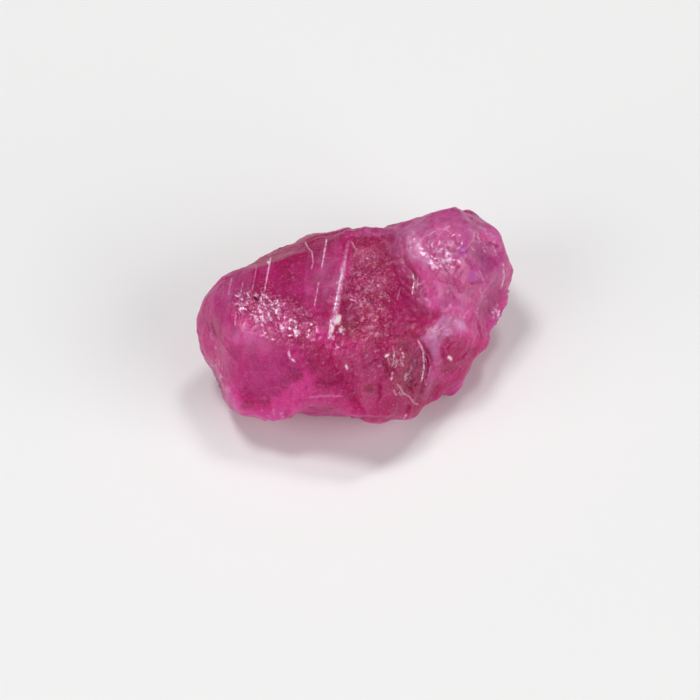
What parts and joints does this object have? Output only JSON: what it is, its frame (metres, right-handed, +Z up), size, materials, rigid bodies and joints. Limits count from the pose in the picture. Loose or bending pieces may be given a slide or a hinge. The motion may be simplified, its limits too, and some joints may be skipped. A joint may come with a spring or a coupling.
{
  "type": "raw ruby crystal",
  "caption": "Small raw ruby crystal: a blocky translucent pink-red lump with flat and fractured faces, a ridge across the top and a rounded knob at one end.",
  "frame": {"origin": "centre of the lump's bounding box, at the height of the flat underside that it rests on", "axes": "+X along the lump towards the rounded knob, +Y away from the broad front face, +Z up"},
  "size_m": [0.0108, 0.0074, 0.005],
  "materials": {
    "ruby": "translucent pink-red corundum, glassy on fresh breaks and finely frosted on worn faces"
  },
  "bodies": {
    "root": {"ruby_crystal": "ruby"}
  },
  "joints": []
}
